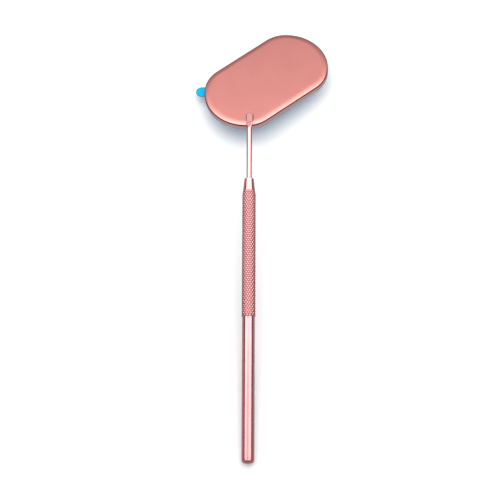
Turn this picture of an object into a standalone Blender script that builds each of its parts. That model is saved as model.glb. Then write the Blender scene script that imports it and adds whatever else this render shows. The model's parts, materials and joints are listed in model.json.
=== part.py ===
"""Large-head mouth mirror: an oval framed mirror on a thin stem that screws into a knurled handle.

Frame: metres, +Z up, Z = 0 is the table. The mirror lies face down, with the far edge of its head and
the tail of its handle on the table. The handle runs along Y and the head is at +Y. The origin is the
centre of the bottom of the bounding box.
"""

from math import cos, pi, radians, sin, sqrt, tan

import bmesh
import bpy
from mathutils import Matrix, Vector

MM = 0.001

# Head: an oval dish, described in its own frame, whose origin is the centre of the dish's back,
# with X along the oval's length and Z pointing out of the back.
HEAD_HALF_LENGTH = 34.4 * MM
HEAD_HALF_WIDTH = 21.2 * MM
HEAD_END_RADIUS = 22.8 * MM
HEAD_CORNER_RADIUS = 15.5 * MM
HEAD_DEPTH = 3.6 * MM
CROWN_RUN = 3.6 * MM
CROWN_TILT = radians(13.0)
CROWN_POWER = 1.3
CORNER_BEND = 1.0 * MM
INNER_SHOULDER = 2.0 * MM
SHELL_WALL = 0.6 * MM
RIM_LIP = 0.35 * MM
RIM_ROLL = 0.1 * MM

# Layers inside the dish, from its floor outwards.
LAYER_GAP = 0.05 * MM
SIDE_GAP = 0.15 * MM
PAD_THICKNESS = 0.6 * MM
PAD_INSET = 3.2 * MM
PAINT_THICKNESS = 0.08 * MM
SILVER_THICKNESS = 0.08 * MM
GLASS_THICKNESS = 1.9 * MM
GLASS_ARRIS = 0.2 * MM
FILM_THICKNESS = 0.15 * MM
FILM_INSET = 0.35 * MM
TAB_ANGLE = radians(135.5)
TAB_WIDTH = 6.2 * MM
TAB_REACH = 5.2 * MM
TAB_CORNER = 3.0 * MM

# Stem: round wire whose flattened end is welded to the dish's back.
STEM_RADIUS = 1.36 * MM
STEM_OFFSET = -7.9 * MM
HEAD_TURN = radians(38.9)
SEAT_GAP = 0.05 * MM
SEAT_CHAMFER = 0.11 * MM
BEND_ANGLE = radians(17.4)
BEND_PLACE = -28.6 * MM
BEND_RADIUS = 5.0 * MM
SPADE_TIP = -23.4 * MM
SPADE_LENGTH = 4.0 * MM
SPADE_NECK = 1.9 * MM
SPADE_HALF_WIDTH = 1.68 * MM
SPADE_CORNER = 0.8 * MM
SPADE_THICKNESS = 1.65 * MM
WELD_GAP = 0.15 * MM
WELD_RADIUS = 0.8 * MM
WELD_BEHIND_TIP = 2.0 * MM

# Handle stations, measured from the stem's bend towards the tail.
NOSE_FRONT = 30.5 * MM
NOSE_BACK = 37.3 * MM
KNURL_FULL = 38.9 * MM
KNURL_END = 101.5 * MM
TUBE_END = 172.1 * MM
TAIL_END = 173.5 * MM

THREAD_PITCH = 0.45 * MM
THREAD_RADIUS = 1.25 * MM
THREAD_LENGTH = 8.0 * MM
THREAD_RELIEF = 1.0 * MM
BORE_CLEARANCE = 0.08 * MM
NOSE_TIP_RADIUS = 2.42 * MM
NOSE_BACK_RADIUS = 3.05 * MM
NOSE_EDGE = 0.5 * MM
BORE_MOUTH = 0.12 * MM
SPIGOT_LENGTH = 6.0 * MM
KNURL_RADIUS = 3.38 * MM
KNURL_RUNOUT = 0.4 * MM
TUBE_RADIUS = 3.08 * MM
TUBE_BORE_RADIUS = 2.3 * MM
TUBE_EDGE = 0.12 * MM
PLUG_FACE_RADIUS = 2.1 * MM
FIT_GAP = 0.03 * MM
SEAM_GAP = 0.05 * MM

# The head is clocked a little about the handle's axis, its left side down, as it lies in balance.
HEAD_ROLL = radians(-4.0)

TURN_SIDES = 40
STEM_SIDES = 24
OUTLINE_SIDES = 16
SHOULDER_STEPS = 5
CROWN_STEPS = 3
TIP_STEPS = 4
NECK_STEPS = 5
BEND_STEPS = 4
TAB_STEPS = 4
NOSE_STEPS = 3
PLUG_STEPS = 4
SETTLE_STEPS = 40

ROSE_GOLD = (0.76, 0.38, 0.32, 1.0)
GLASS_TINT = (0.86, 0.93, 0.92, 1.0)
WELD_BROWN = (0.45, 0.33, 0.30, 1.0)
SILVER = (0.93, 0.94, 0.95, 1.0)
PAINT_GREY = (0.30, 0.31, 0.33, 1.0)
FOAM_WHITE = (0.86, 0.86, 0.84, 1.0)
FILM_BLUE = (0.02, 0.42, 0.90, 1.0)


def clear_scene():
    for obj in list(bpy.data.objects):
        bpy.data.objects.remove(obj, do_unlink=True)


def material(name, colour, metallic, roughness, alpha=1.0):
    made = bpy.data.materials.new(name)
    made.use_nodes = True
    shader = made.node_tree.nodes["Principled BSDF"]
    shader.inputs["Base Color"].default_value = colour
    shader.inputs["Metallic"].default_value = metallic
    shader.inputs["Roughness"].default_value = roughness
    shader.inputs["Alpha"].default_value = alpha
    return made


def empty(name, parent=None, matrix=None):
    made = bpy.data.objects.new(name, None)
    made.empty_display_size = 5 * MM
    bpy.context.scene.collection.objects.link(made)
    made.parent = parent
    if matrix is not None:
        made.matrix_local = matrix
    return made


def finish_object(name, shape, parent, surface):
    """Turns a bmesh into a named, smooth-shaded object under its parent."""
    bmesh.ops.recalc_face_normals(shape, faces=shape.faces)
    mesh = bpy.data.meshes.new(name)
    shape.to_mesh(mesh)
    shape.free()
    mesh.materials.append(surface)
    mesh.shade_smooth()
    mesh.set_sharp_from_angle(angle=radians(30))
    obj = bpy.data.objects.new(name, mesh)
    bpy.context.scene.collection.objects.link(obj)
    obj.parent = parent
    return obj


def oval(inset=0.0):
    """Points round the head's outline, moved inwards by inset, counter-clockwise from +X.

    Each end is a wide arc centred on the oval's length, and corner arcs join it to the straight sides.
    """
    end, corner = HEAD_END_RADIUS - inset, HEAD_CORNER_RADIUS - inset
    end_centre = HEAD_HALF_LENGTH - HEAD_END_RADIUS
    rise = HEAD_HALF_WIDTH - HEAD_CORNER_RADIUS
    run = sqrt((HEAD_END_RADIUS - HEAD_CORNER_RADIUS) ** 2 - rise**2)
    corner_centre = Vector((end_centre + run, rise))
    meet = Vector((run, rise)).angle_signed(Vector((1, 0)))
    quarter = []
    for step in range(OUTLINE_SIDES // 2):
        turn = meet * step / (OUTLINE_SIDES // 2)
        quarter.append(Vector((end_centre + end * cos(turn), end * sin(turn))))
    for step in range(OUTLINE_SIDES + 1):
        turn = meet + (pi / 2 - meet) * step / OUTLINE_SIDES
        quarter.append(corner_centre + corner * Vector((cos(turn), sin(turn))))
    left = [Vector((-p.x, p.y)) for p in reversed(quarter)]
    upper = quarter + left
    lower = [Vector((p.x, -p.y)) for p in reversed(upper[1:-1])]
    return upper + lower


def ring(shape, points, height):
    return [shape.verts.new((p.x, p.y, height)) for p in points]


def loft(shape, rings, closed_ends=True):
    """Joins rings of equal length with quads, and caps the first and the last."""
    for first, second in zip(rings, rings[1:]):
        for i, vert in enumerate(first):
            after = (i + 1) % len(first)
            shape.faces.new((vert, first[after], second[after], second[i]))
    if closed_ends:
        shape.faces.new(list(reversed(rings[0])))
        shape.faces.new(rings[-1])


def plate(name, inset, top, thickness, parent, surface, arris=0.0):
    """A flat oval plate whose lower face hangs below top, with an optional bevelled edge."""
    shape = bmesh.new()
    levels = [(inset + arris, top), (inset, top - arris)]
    levels += [(inset, top - thickness + arris), (inset + arris, top - thickness)]
    if not arris:
        levels = [levels[0], levels[-1]]
    loft(shape, [ring(shape, oval(edge), height) for edge, height in levels])
    return finish_object(name, shape, parent, surface)


def back_shell(parent, surface):
    """The pressed dish: flat back, gently crowned edge, tight bend, straight wall and a lip turned in."""
    shape = bmesh.new()
    rings = []
    bend_inset = CORNER_BEND * (1 - sin(CROWN_TILT))
    run = CROWN_RUN - bend_inset
    edge_drop = tan(CROWN_TILT) * run / (CROWN_POWER + 1)
    for step in range(CROWN_STEPS):
        share = step / CROWN_STEPS
        rings.append(ring(shape, oval(CROWN_RUN - run * share), -edge_drop * share ** (CROWN_POWER + 1)))
    for step in range(SHOULDER_STEPS + 1):
        turn = CROWN_TILT + (pi / 2 - CROWN_TILT) * step / SHOULDER_STEPS
        inset = CORNER_BEND * (1 - sin(turn))
        rings.append(ring(shape, oval(inset), -edge_drop - CORNER_BEND * (cos(CROWN_TILT) - cos(turn))))
    rings.append(ring(shape, oval(RIM_ROLL), -HEAD_DEPTH))
    rings.append(ring(shape, oval(SHELL_WALL + RIM_LIP), -HEAD_DEPTH))
    rings.append(ring(shape, oval(SHELL_WALL), -HEAD_DEPTH + RIM_LIP))
    for step in reversed(range(SHOULDER_STEPS + 1)):
        turn = pi / 2 * step / SHOULDER_STEPS
        inset = SHELL_WALL + INNER_SHOULDER * (1 - sin(turn))
        height = -SHELL_WALL - INNER_SHOULDER * (1 - cos(turn))
        rings.append(ring(shape, oval(inset), height))
    loft(shape, rings)
    return finish_object("back_shell", shape, parent, surface)


def protective_film(top, parent, surface):
    """Peel-off film over the glass, with a rounded pull tab that reaches past the rim."""
    edge = oval(FILM_INSET)
    along = Vector((cos(TAB_ANGLE), sin(TAB_ANGLE)))
    across = Vector((-along.y, along.x))
    centre = Vector((HEAD_END_RADIUS - HEAD_HALF_LENGTH, 0))
    reach = max((p - centre).dot(along) for p in oval()) + TAB_REACH
    tab = []
    for side, start in ((-1, -pi / 2), (1, 0)):
        middle = centre + (reach - TAB_CORNER) * along + side * (TAB_WIDTH / 2 - TAB_CORNER) * across
        for step in range(TAB_STEPS + 1):
            turn = start + pi / 2 * step / TAB_STEPS
            tab.append(middle + TAB_CORNER * (cos(turn) * along + sin(turn) * across))
    kept = [
        p for p in edge if (p - centre).dot(along) < 0 or abs((p - centre).dot(across)) > TAB_WIDTH / 2
    ]
    after = next(
        i
        for i, p in enumerate(kept)
        if (p - centre).dot(along) > 0 and (p - centre).dot(across) > TAB_WIDTH / 2
    )
    outline = kept[:after] + tab + kept[after:]
    shape = bmesh.new()
    loft(shape, [ring(shape, outline, top), ring(shape, outline, top - FILM_THICKNESS)])
    return finish_object("protective_film", shape, parent, surface)


def turned(name, profile, parent, surface, bored=False, sides=TURN_SIDES):
    """A round piece about the handle's axis, from (station, radius) pairs.

    The profile of a bored piece runs out along the outside and back along the bore, and it closes on
    itself. The profile of a solid piece runs from one end face to the other.
    """
    shape = bmesh.new()
    rings = []
    for station, radius in profile:
        row = []
        for side in range(sides):
            turn = 2 * pi * side / sides
            row.append(shape.verts.new((radius * cos(turn), -station, radius * sin(turn))))
        rings.append(row)
    if bored:
        rings.append(rings[0])
    loft(shape, rings, closed_ends=not bored)
    return finish_object(name, shape, parent, surface)


def stem(parent, surface):
    """Round wire with a flattened spade at its end, bent once where it leaves the dish."""
    shape = bmesh.new()
    floor = WELD_GAP
    low, high = floor + SPADE_THICKNESS / 2, floor + STEM_RADIUS
    rings = []

    def section(centre, lean, half_width, half_height, squareness):
        """One ring across the wire. Squareness 0 is an ellipse and 1 is a rounded flat."""
        up = Vector((0, sin(lean), cos(lean)))
        power = 1 - 0.5 * squareness
        row = []
        for side in range(STEM_SIDES):
            turn = 2 * pi * (side + 0.5) / STEM_SIDES
            x, z = cos(turn), sin(turn)
            x = half_width * abs(x) ** power * (1 if x > 0 else -1)
            z = half_height * abs(z) ** power * (1 if z > 0 else -1)
            row.append(shape.verts.new(centre + Vector((x, 0, 0)) + up * z))
        rings.append(row)

    for step in range(TIP_STEPS + 1):
        turn = pi / 2 * step / TIP_STEPS
        y = SPADE_TIP - SPADE_CORNER * (1 - cos(turn))
        half = SPADE_HALF_WIDTH - SPADE_CORNER * (1 - sin(turn))
        section(Vector((0, y, low)), 0, half, SPADE_THICKNESS / 2, 1.0)
    neck_start = SPADE_TIP - SPADE_LENGTH + SPADE_NECK / 2
    for step in range(NECK_STEPS + 1):
        share = step / NECK_STEPS
        ease = share * share * (3 - 2 * share)
        y = neck_start - SPADE_NECK * share
        section(
            Vector((0, y, low + (high - low) * ease)),
            0,
            SPADE_HALF_WIDTH + (STEM_RADIUS - SPADE_HALF_WIDTH) * ease,
            SPADE_THICKNESS / 2 + (STEM_RADIUS - SPADE_THICKNESS / 2) * ease,
            1 - ease,
        )
    half_bend = BEND_RADIUS * tan(BEND_ANGLE / 2)
    for step in range(BEND_STEPS + 1):
        lean = BEND_ANGLE * step / BEND_STEPS
        y = BEND_PLACE + half_bend - BEND_RADIUS * sin(lean)
        z = high - BEND_RADIUS * (1 - cos(lean))
        section(Vector((0, y, z)), -lean, STEM_RADIUS, STEM_RADIUS, 0)
    along = Vector((0, -cos(BEND_ANGLE), -sin(BEND_ANGLE)))
    seat = NOSE_FRONT - SEAT_GAP
    for reach, radius in (
        (seat - SEAT_CHAMFER, STEM_RADIUS),
        (seat, THREAD_RADIUS),
        (NOSE_FRONT + THREAD_RELIEF, THREAD_RADIUS),
    ):
        section(Vector((0, BEND_PLACE, high)) + along * reach, -BEND_ANGLE, radius, radius, 0)
    loft(shape, rings)
    return finish_object("stem", shape, parent, surface)


def weld_nugget(parent, surface):
    """The fused spot that holds the spade to the dish, between the two."""
    shape = bmesh.new()
    height = WELD_GAP - 2 * LAYER_GAP
    bmesh.ops.create_cone(
        shape, cap_ends=True, segments=STEM_SIDES, radius1=WELD_RADIUS, radius2=WELD_RADIUS, depth=height
    )
    place = (0, SPADE_TIP - WELD_BEHIND_TIP, WELD_GAP / 2)
    bmesh.ops.translate(shape, verts=shape.verts, vec=place)
    return finish_object("weld_nugget", shape, parent, surface)


def mirror_layers(parent, finishes):
    """Adhesive, paint, silver, glass and film, each a thin gap below the one before."""
    glass_inset = SHELL_WALL + RIM_LIP + SIDE_GAP
    coat_inset = glass_inset + GLASS_ARRIS
    layers = (
        ("adhesive_pad", PAD_INSET, PAD_THICKNESS, 0.0),
        ("backing_paint", coat_inset, PAINT_THICKNESS, 0.0),
        ("silver_coat", coat_inset, SILVER_THICKNESS, 0.0),
        ("mirror_glass", glass_inset, GLASS_THICKNESS, GLASS_ARRIS),
    )
    top = -SHELL_WALL
    for name, inset, thickness, arris in layers:
        top -= LAYER_GAP
        plate(name, inset, top, thickness, parent, finishes[name], arris)
        top -= thickness
    protective_film(min(top, -HEAD_DEPTH) - LAYER_GAP, parent, finishes["protective_film"])


def threaded_stud(parent, surface):
    """The stem's screwed end, at the thread's outer diameter, with its point chamfered one pitch."""
    start = NOSE_FRONT + THREAD_RELIEF + SEAM_GAP
    end = start + THREAD_LENGTH
    profile = [(start, THREAD_RADIUS), (end - THREAD_PITCH, THREAD_RADIUS)]
    profile.append((end, THREAD_RADIUS - THREAD_PITCH))
    return turned("threaded_stud", profile, parent, surface)


def nose_cone(parent, surface):
    """The tapped nose: its tapered front shows, and its spigot is pressed into the tube."""
    bore = THREAD_RADIUS + BORE_CLEARANCE
    spigot = TUBE_BORE_RADIUS - FIT_GAP
    profile = [(NOSE_FRONT, bore + BORE_MOUTH)]
    for step in range(NOSE_STEPS + 1):
        turn = pi / 2 * step / NOSE_STEPS
        round_off = NOSE_EDGE * (1 - sin(turn))
        profile.append((NOSE_FRONT + NOSE_EDGE * (1 - cos(turn)), NOSE_TIP_RADIUS - round_off))
    profile += [(NOSE_BACK - SEAM_GAP, NOSE_BACK_RADIUS), (NOSE_BACK - SEAM_GAP, spigot)]
    profile += [(NOSE_BACK + SPIGOT_LENGTH, spigot), (NOSE_BACK + SPIGOT_LENGTH, bore)]
    profile.append((NOSE_FRONT + BORE_MOUTH, bore))
    return turned("nose_cone", profile, parent, surface, bored=True)


def handle_tube(parent, surface):
    """The tube: chamfered front, knurled grip a little proud, then the smooth tail."""
    profile = [
        (NOSE_BACK, NOSE_BACK_RADIUS),
        (KNURL_FULL, KNURL_RADIUS),
        (KNURL_END, KNURL_RADIUS),
        (KNURL_END + KNURL_RUNOUT, TUBE_RADIUS),
        (TUBE_END - TUBE_EDGE, TUBE_RADIUS),
        (TUBE_END, TUBE_RADIUS - TUBE_EDGE),
        (TUBE_END, TUBE_BORE_RADIUS),
        (NOSE_BACK, TUBE_BORE_RADIUS),
    ]
    return turned("handle_tube", profile, parent, surface, bored=True)


def end_plug(parent, surface):
    """The plug pressed into the tail, with a rounded rim round a flat face."""
    spigot = TUBE_BORE_RADIUS - FIT_GAP
    front = TUBE_END + SEAM_GAP
    rim = TUBE_RADIUS - TUBE_EDGE
    profile = [(TUBE_END - SPIGOT_LENGTH, spigot), (front, spigot)]
    for step in range(PLUG_STEPS + 1):
        turn = pi / 2 * step / PLUG_STEPS
        station = front + (TAIL_END - front) * sin(turn)
        profile.append((station, PLUG_FACE_RADIUS + (rim - PLUG_FACE_RADIUS) * cos(turn)))
    return turned("end_plug", profile, parent, surface)


def settle(assembly, handle):
    """Pitches the handle until head and tail both touch Z = 0, and centres the bounding box on X and Y."""
    bpy.context.view_layer.update()
    to_handle = handle.matrix_world.inverted()
    pieces = [obj for obj in bpy.data.objects if obj.type == "MESH"]
    points = [to_handle @ obj.matrix_world @ v.co for obj in pieces for v in obj.data.vertices]
    head = [p for p in points if p.y > 0]
    tail = [p for p in points if p.y < -KNURL_END]

    def lowest(group, pitch):
        return min(p.y * sin(pitch) + p.z * cos(pitch) for p in group)

    low, high = 0.0, BEND_ANGLE
    for _ in range(SETTLE_STEPS):
        pitch = (low + high) / 2
        if lowest(head, pitch) < lowest(tail, pitch):
            low = pitch
        else:
            high = pitch
    handle.matrix_local = Matrix.Rotation(pitch, 4, "X")
    bpy.context.view_layer.update()
    placed = [obj.matrix_world @ v.co for obj in pieces for v in obj.data.vertices]
    lows = [min(p[axis] for p in placed) for axis in range(3)]
    highs = [max(p[axis] for p in placed) for axis in range(3)]
    assembly.location = (-(lows[0] + highs[0]) / 2, -(lows[1] + highs[1]) / 2, -lows[2])


def build():
    clear_scene()
    satin = material("satin_rose_gold", ROSE_GOLD, 1.0, 0.34)
    polished = material("polished_rose_gold", ROSE_GOLD, 1.0, 0.16)
    knurled = material("knurled_rose_gold", ROSE_GOLD, 1.0, 0.28)
    weld = material("weld_metal", WELD_BROWN, 1.0, 0.5)
    layer_finishes = {
        "adhesive_pad": material("adhesive_foam", FOAM_WHITE, 0.0, 0.9),
        "backing_paint": material("backing_paint", PAINT_GREY, 0.0, 0.6),
        "silver_coat": material("silver_coat", SILVER, 1.0, 0.03),
        "mirror_glass": material("clear_glass", GLASS_TINT, 0.0, 0.02, 0.35),
        "protective_film": material("blue_film", FILM_BLUE, 0.0, 0.25, 0.6),
    }

    assembly = empty("mouth_mirror")
    handle = empty("handle_axis", assembly)
    travel = empty("thread_travel_axis", handle)
    unscrew = empty("head_unscrew_axis", travel, Matrix.Rotation(HEAD_ROLL, 4, "Y"))
    to_bend = Matrix.Translation((0, -BEND_PLACE, -WELD_GAP - STEM_RADIUS))
    stem_frame = empty("stem_frame", unscrew, Matrix.Rotation(-BEND_ANGLE, 4, "X") @ to_bend)
    to_dish = Matrix.Translation((-STEM_OFFSET, 0, 0))
    dish = empty("dish_frame", stem_frame, to_dish @ Matrix.Rotation(HEAD_TURN, 4, "Z"))

    back_shell(dish, satin)
    mirror_layers(dish, layer_finishes)
    weld_nugget(stem_frame, weld)
    stem(stem_frame, polished)
    threaded_stud(travel, polished)
    nose_cone(handle, polished)
    handle_tube(handle, knurled)
    end_plug(handle, polished)
    settle(assembly, handle)


build()
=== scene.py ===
"""Large-head mouth mirror: its fine meshes, finishes, light and camera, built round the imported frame.

The head is a pressed oval dish that holds a glass mirror face down. A thin bent stem is welded to the
back of the dish and screws into a slim handle with a diamond-knurled grip. Everything is in metres,
+Z up, with the table at Z = 0 and the handle along Y.
"""

import json
import logging
from collections.abc import Callable, Sequence
from dataclasses import dataclass, field
from enum import Enum
from math import atan2, cos, pi, radians, sin, sqrt, tan

import bmesh
import bpy
from mathutils import Matrix, Vector


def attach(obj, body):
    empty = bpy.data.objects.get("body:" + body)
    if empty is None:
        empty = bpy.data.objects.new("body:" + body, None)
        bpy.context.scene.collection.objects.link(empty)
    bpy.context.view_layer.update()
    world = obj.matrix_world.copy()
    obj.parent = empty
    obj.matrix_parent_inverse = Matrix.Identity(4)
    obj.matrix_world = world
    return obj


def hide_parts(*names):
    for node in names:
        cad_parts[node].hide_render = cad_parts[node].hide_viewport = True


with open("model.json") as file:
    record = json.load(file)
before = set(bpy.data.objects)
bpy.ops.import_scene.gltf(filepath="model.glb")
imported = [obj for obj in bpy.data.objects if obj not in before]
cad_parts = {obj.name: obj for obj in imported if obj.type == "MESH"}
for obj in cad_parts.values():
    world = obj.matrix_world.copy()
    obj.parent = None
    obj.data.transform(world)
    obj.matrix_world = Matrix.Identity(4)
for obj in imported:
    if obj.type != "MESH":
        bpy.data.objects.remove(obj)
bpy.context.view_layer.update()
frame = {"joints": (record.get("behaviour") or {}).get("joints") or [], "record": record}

MM = 0.001
# Per-vertex share for real wear, frosting and tarnish, also used for painted light: the paler painted
# reflection on the dish's wall and the painted shade along the film's edge.
WEAR_AND_PAINTED_LIGHT = "wear"
# Per-vertex share of painted shade, darkening the knurl's grooves and the dish's rim crease.
PAINTED_HOLLOW_SHADE = "painted_hollow_shade"
SHARP_ANGLE = radians(34)
CREST_POWER = 3.0
COARSE = 2.0
MEDIUM = 3.0
FINE = 4.0
PLATE_FILL = 6.0 * MM
PAD_BULGE = 0.08 * MM

Colour = tuple[float, float, float, float]
Point = tuple[float, float]
Triple = tuple[float, float, float]
log = logging.getLogger("mouth_mirror")


class Body(Enum):
    """The rigid bodies that pieces ride on."""

    HANDLE = "handle"
    STUD = "stud"
    HEAD = "head"


class Slot(Enum):
    """The record's material slots."""

    SATIN = "satin_metal"
    POLISHED = "polished_metal"
    KNURLED = "knurled_metal"
    THREAD = "thread_metal"
    WELD = "weld_metal"
    GLASS = "clear_glass"
    SILVER = "silver"
    PAINT = "backing_paint"
    FOAM = "adhesive_foam"
    FILM = "blue_film"


class Grain(Enum):
    """How a metal surface was worked, which sets the run of its fine marks."""

    BLASTED = "blasted"
    TURNED = "turned"
    DRAWN = "drawn"


class Wire:
    """An output socket that takes part in Python arithmetic by adding Math nodes to its tree."""

    def __init__(self, board: "Board", socket: bpy.types.NodeSocket | None) -> None:
        """Keeps the board that owns the socket, and the socket itself."""
        self.board = board
        self.socket = socket

    def _math(self, operation: str, *operands: "Wire | float") -> "Wire":
        """Adds one Math node.

        Args:
            operation: The Math node's operation.
            operands: Its inputs in order, as wires or plain numbers.

        Returns:
            The node's result.
        """
        return self.board.node("ShaderNodeMath", {"operation": operation}, dict(enumerate(operands)))

    def __add__(self, other: "Wire | float") -> "Wire":
        """Sum."""
        return self._math("ADD", self, other)

    __radd__ = __add__

    def __sub__(self, other: "Wire | float") -> "Wire":
        """Difference."""
        return self._math("SUBTRACT", self, other)

    def __rsub__(self, other: float) -> "Wire":
        """Difference with the operands the other way round."""
        return self._math("SUBTRACT", other, self)

    def __mul__(self, other: "Wire | float") -> "Wire":
        """Product."""
        return self._math("MULTIPLY", self, other)

    __rmul__ = __mul__

    def __truediv__(self, other: "Wire | float") -> "Wire":
        """Quotient."""
        return self._math("DIVIDE", self, other)

    def __rtruediv__(self, other: float) -> "Wire":
        """Quotient with the operands the other way round."""
        return self._math("DIVIDE", other, self)

    def __pow__(self, other: "Wire | float") -> "Wire":
        """Power."""
        return self._math("POWER", self, other)

    def __rpow__(self, other: float) -> "Wire":
        """Power with the operands the other way round."""
        return self._math("POWER", other, self)

    def __gt__(self, other: "Wire | float") -> "Wire":
        """One where this is above the other, and zero elsewhere."""
        return self._math("GREATER_THAN", self, other)

    def __abs__(self) -> "Wire":
        """Absolute value."""
        return self._math("ABSOLUTE", self)

    def fraction(self) -> "Wire":
        """The part after the decimal point, from 0 to 1."""
        return self._math("FRACT", self)

    def least(self, other: "Wire | float") -> "Wire":
        """The smaller of the two."""
        return self._math("MINIMUM", self, other)

    def angle_to(self, other: "Wire | float") -> "Wire":
        """The angle whose sine runs with this value and whose cosine runs with the other."""
        return self._math("ARCTAN2", self, other)

    def between(self, low: float, high: float) -> "Wire":
        """A straight run from low to high as this goes from 0 to 1."""
        return self * (high - low) + low

    def ramped(self, low: float = 0.0, high: float = 1.0) -> "Wire":
        """A smooth climb from 0 at low to 1 at high, level beyond them."""
        settings = {"interpolation_type": "SMOOTHSTEP", "clamp": True}
        inputs = {"Value": self, "From Min": low, "From Max": high, "To Min": 0.0, "To Max": 1.0}
        return self.board.node("ShaderNodeMapRange", settings, inputs, "Result")


class Board:
    """A node tree, and the one method that adds nodes to it."""

    def __init__(self, tree: bpy.types.NodeTree) -> None:
        """Keeps the tree."""
        self.tree = tree

    def node(
        self,
        kind: str,
        settings: dict[str, object] | None = None,
        inputs: dict[str | int, object] | None = None,
        output: str | int = 0,
    ) -> Wire:
        """Adds a node, sets it up and wires it.

        Args:
            kind: The node's type.
            settings: Properties to set before its sockets are filled.
            inputs: Values or wires, by socket name or number.
            output: The output socket to hand back, by name or number.

        Returns:
            The chosen output as a wire, which is empty for a node without outputs.
        """
        made = self.tree.nodes.new(kind)
        for name, value in (settings or {}).items():
            setattr(made, name, value)
        for name, value in (inputs or {}).items():
            self.fill(made.inputs[name], value)
        return Wire(self, made.outputs[output] if made.outputs else None)

    def fill(self, socket: bpy.types.NodeSocket, value: object) -> None:
        """Links a wire to an input socket, or sets a plain value on it."""
        if isinstance(value, Wire):
            self.tree.links.new(value.socket, socket)
        else:
            socket.default_value = value


class Paint(Board):
    """A material under construction, with the nodes that every finish here draws on."""

    def __init__(self, name: str) -> None:
        """Starts an empty material whose surface is a Principled shader."""
        self.material = bpy.data.materials.new(name)
        self.material.use_nodes = True
        super().__init__(self.material.node_tree)
        self.shader = self.tree.nodes["Principled BSDF"]
        self.place = self.node("ShaderNodeTexCoord", output="Object")

    def noise(self, size: float, detail: float = MEDIUM, stretch: Vector | None = None) -> Wire:
        """Cloudy noise over the piece.

        Args:
            size: How far apart its features are, in metres.
            detail: How many finer octaves are added.
            stretch: Shares by which each axis is compressed before the noise is read.

        Returns:
            The noise, from 0 to 1.
        """
        place = self.place
        if stretch is not None:
            place = self.node("ShaderNodeMapping", {}, {"Vector": place, "Scale": stretch})
        inputs = {"Vector": place, "Scale": 1.0 / size, "Detail": detail}
        return self.node("ShaderNodeTexNoise", {}, inputs, "Fac")

    def along(self, axis: Vector) -> Wire:
        """Distance along an axis through the origin, in metres."""
        settings = {"operation": "DOT_PRODUCT"}
        return self.node("ShaderNodeVectorMath", settings, {0: self.place, 1: axis}, "Value")

    def lines(self, axis: Vector, pitch: float) -> Wire:
        """Uneven fine lines across an axis, as a cutting tool leaves, from 0 to 1."""
        inputs = {"W": self.along(axis), "Scale": 1.0 / pitch, "Detail": COARSE}
        return self.node("ShaderNodeTexNoise", {"noise_dimensions": "1D"}, inputs, "Fac")

    def attribute(self, name: str) -> Wire:
        """A number that the mesh carries at its vertices."""
        return self.node("ShaderNodeAttribute", {"attribute_name": name}, {}, "Fac")

    def mix(self, share: Wire | float, first: object, second: object) -> Wire:
        """A colour that runs from the first to the second as share goes from 0 to 1."""
        return self.node("ShaderNodeMix", {"data_type": "RGBA"}, {0: share, 6: first, 7: second}, 2)

    def bump(self, height: Wire, depth: float) -> Wire:
        """A bump normal from a height of 0 to 1 that stands depth metres high."""
        inputs = {"Height": height * depth, "Distance": 1.0, "Strength": 1.0}
        return self.node("ShaderNodeBump", {}, inputs, "Normal")


def shaded(colour: Colour, loss: float) -> Colour:
    """A colour with a share of its light taken away."""
    return (*(channel * (1.0 - loss) for channel in colour[:3]), 1.0)


@dataclass(frozen=True)
class Finish:
    """A surface finish, whose subclasses say what goes into the sockets of its shader."""

    name: str

    def sockets(self, paint: Paint) -> dict[str, object]:
        """The shader's values and wires by socket name, with their nodes added to the paint."""
        raise NotImplementedError

    def material(self) -> bpy.types.Material:
        """The finish as a Blender material."""
        paint = Paint(self.name)
        for socket, value in self.sockets(paint).items():
            paint.fill(paint.shader.inputs[socket], value)
        return paint.material


@dataclass(frozen=True)
class Plating(Finish):
    """Rose-gold plate over steel.

    Places where the mesh's wear attribute is near 1 are paler and smoother: real scuffs, and on the dish's
    wall a painted reflection of the table. Grooves and creases get painted shade.
    """

    colour: Colour
    worn_colour: Colour
    roughness: float
    grain: Grain
    grain_size: float
    grain_depth: float
    axis: Triple = (0.0, 1.0, 0.0)
    stain: float = 0.05
    worn_roughness: float = -0.06
    groove_shade: float = 0.0
    cloud_size: float = 9.0 * MM
    cloud_band: Point = (0.35, 0.7)
    haze_size: float = 1.6 * MM
    haze_roughness: float = 0.05
    mark_roughness: float = 0.03
    scuff_range: Point = (0.6, 1.4)
    draw_stretch: float = 0.04

    def sockets(self, paint: Paint) -> dict[str, object]:
        """Cloudy plate with fine marks, scuffed and paler where the wear attribute is high, and darkened
        with painted shade in its grooves.
        """
        cloud = paint.noise(self.cloud_size, COARSE)
        haze = paint.noise(self.haze_size, FINE)
        wear = paint.attribute(WEAR_AND_PAINTED_LIGHT)
        marks = self._marks(paint)
        plated = paint.mix(cloud.ramped(*self.cloud_band), self.colour, shaded(self.colour, self.stain))
        scuffs = (wear * haze.between(*self.scuff_range)).ramped()
        # Painted shade: grooves and creases are darkened by their share in the painted_hollow_shade
        # attribute.
        if self.groove_shade:
            plated = paint.mix(paint.attribute(PAINTED_HOLLOW_SHADE), plated, shaded(self.colour, self.groove_shade))
        uneven = haze * self.haze_roughness + marks * self.mark_roughness + scuffs * self.worn_roughness
        mean = (self.haze_roughness + self.mark_roughness) / 2
        return {
            "Base Color": paint.mix(scuffs, plated, self.worn_colour),
            "Metallic": 1.0,
            "Roughness": uneven + (self.roughness - mean),
            "Normal": paint.bump(marks, self.grain_depth),
        }

    def _marks(self, paint: Paint) -> Wire:
        """The fine marks of the way the metal was worked, from 0 to 1."""
        if self.grain is Grain.TURNED:
            return paint.lines(Vector(self.axis), self.grain_size)
        if self.grain is Grain.DRAWN:
            return paint.noise(self.grain_size, COARSE, Vector((1.0, self.draw_stretch, 1.0)))
        return paint.noise(self.grain_size, COARSE)


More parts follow.
